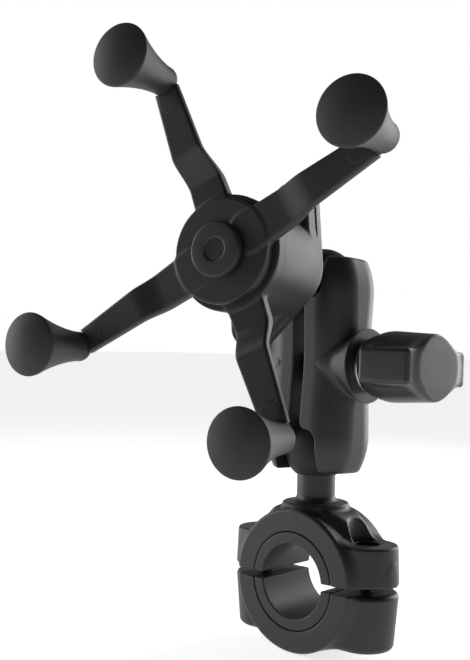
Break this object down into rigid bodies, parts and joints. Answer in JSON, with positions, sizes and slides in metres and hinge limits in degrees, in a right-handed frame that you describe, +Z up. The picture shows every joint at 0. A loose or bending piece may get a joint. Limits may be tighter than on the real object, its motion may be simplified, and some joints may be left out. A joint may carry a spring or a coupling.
{
  "type": "phone handlebar mount",
  "caption": "Phone mount with a split handlebar clamp, a double ball-socket arm with a wing knob and a spring-closed X-shaped grip with rubber caps.",
  "frame": {"origin": "centre of the handlebar bore, half way along the clamp", "axes": "+Y along the handlebar, away from the rider's side of the phone; +Z up along the clamp's post; +X towards the wing knob"},
  "size_m": [0.1342, 0.1378, 0.2236],
  "materials": {
    "coated": "matt black powder coat on cast aluminium",
    "sleeve": "moulded glass-filled plastic",
    "grip": "moulded glass-filled plastic",
    "knob": "satin moulded plastic",
    "ball_rubber": "matt moulded rubber",
    "cap_rubber": "soft matt moulded rubber",
    "steel": "zinc plated or stainless steel",
    "black_steel": "black oxide on steel",
    "brass": "turned brass"
  },
  "bodies": {
    "base": {"clamp_upper": "coated", "sleeve_upper": "sleeve", "clamp_washer_left": "steel", "clamp_washer_right": "steel"},
    "lower_half": {"clamp_lower": "coated", "sleeve_lower": "sleeve", "clamp_nut_left": "steel", "clamp_nut_right": "steel"},
    "screw_left": {"clamp_screw_left": "black_steel"},
    "screw_right": {"clamp_screw_right": "black_steel"},
    "lower_ball": {"lower_ball_cover": "ball_rubber"},
    "arm": {"arm_far_half": "coated", "arm_bolt": "steel", "arm_spring": "steel"},
    "near_half": {"arm_near_half": "coated", "knob_washer": "steel"},
    "knob": {"knob": "knob", "knob_insert": "brass"},
    "upper_ball": {"upper_ball_cover": "ball_rubber"},
    "grip": {"ball_plate": "coated", "plate_screw_lower": "black_steel", "plate_screw_upper": "black_steel", "plate_nut_lower": "steel", "plate_nut_upper": "steel", "grip_housing": "grip", "grip_spring": "steel", "pivot_pin": "black_steel", "pivot_cap": "grip"},
    "swing_a": {"grip_arm_a": "grip", "cap_upper_left": "cap_rubber", "cap_lower_right": "cap_rubber"},
    "swing_b": {"grip_arm_b": "grip", "cap_upper_right": "cap_rubber", "cap_lower_left": "cap_rubber"}
  },
  "joints": [
    {"name": "screw_left_turn", "type": "hinge", "parent": "base", "child": "screw_left", "pos_m": [-0.025, 0, 0.01], "axis": [0, 0, 1], "range_deg": [0, 1800]},
    {"name": "screw_right_turn", "type": "hinge", "parent": "base", "child": "screw_right", "pos_m": [0.025, 0, 0.01], "axis": [0, 0, 1], "range_deg": [0, 1800]},
    {"name": "lower_half_drop", "type": "slide", "parent": "base", "child": "lower_half", "axis": [0, 0, -1], "range_m": [0, 0.004]},
    {"name": "lower_ball_swivel", "type": "hinge", "parent": "base", "child": "lower_ball", "pos_m": [0, 0, 0.0501], "axis": [0, 0, 1], "continuous": true},
    {"name": "lower_ball_tilt", "type": "hinge", "parent": "lower_ball", "child": "arm", "pos_m": [0, 0, 0.0501], "axis": [1, 0, 0], "range_deg": [-87, 45]},
    {"name": "near_half_slide", "type": "slide", "parent": "arm", "child": "near_half", "axis": [1, 0, 0], "range_m": [0, 0.00159], "deforming": ["arm_spring"]},
    {"name": "knob_turn", "type": "hinge", "parent": "near_half", "child": "knob", "pos_m": [0.0248, 0.00129, 0.08357], "axis": [1, 0, 0], "range_deg": [0, 450]},
    {"name": "upper_ball_tilt", "type": "hinge", "parent": "arm", "child": "upper_ball", "pos_m": [0, 0.00257, 0.11705], "axis": [1, 0, 0], "range_deg": [-176, 2]},
    {"name": "upper_ball_roll", "type": "hinge", "parent": "upper_ball", "child": "grip", "pos_m": [0, 0.00257, 0.11705], "axis": [0.1956, -0.9788, 0.061], "continuous": true},
    {"name": "grip_arm_a_swing", "type": "hinge", "parent": "grip", "child": "swing_a", "pos_m": [0.01408, -0.0679, 0.12145], "axis": [0.1956, -0.9788, 0.061], "range_deg": [-17, 1], "stiffness_Nm_per_rad": 0.35, "springref_deg": -68.75, "deforming": ["grip_spring"]},
    {"name": "grip_arm_b_swing", "type": "hinge", "parent": "grip", "child": "swing_b", "pos_m": [0.01498, -0.0724, 0.12173], "axis": [0.1956, -0.9788, 0.061], "range_deg": [-1, 17]}
  ],
  "couplings": [
    {"joint": "screw_left_turn", "follows": "lower_half_drop", "rad_per_m": 7853.9},
    {"joint": "screw_right_turn", "follows": "lower_half_drop", "rad_per_m": 7853.9},
    {"joint": "knob_turn", "follows": "near_half_slide", "rad_per_m": 4947.4},
    {"joint": "grip_arm_b_swing", "follows": "grip_arm_a_swing", "ratio": -1}
  ]
}
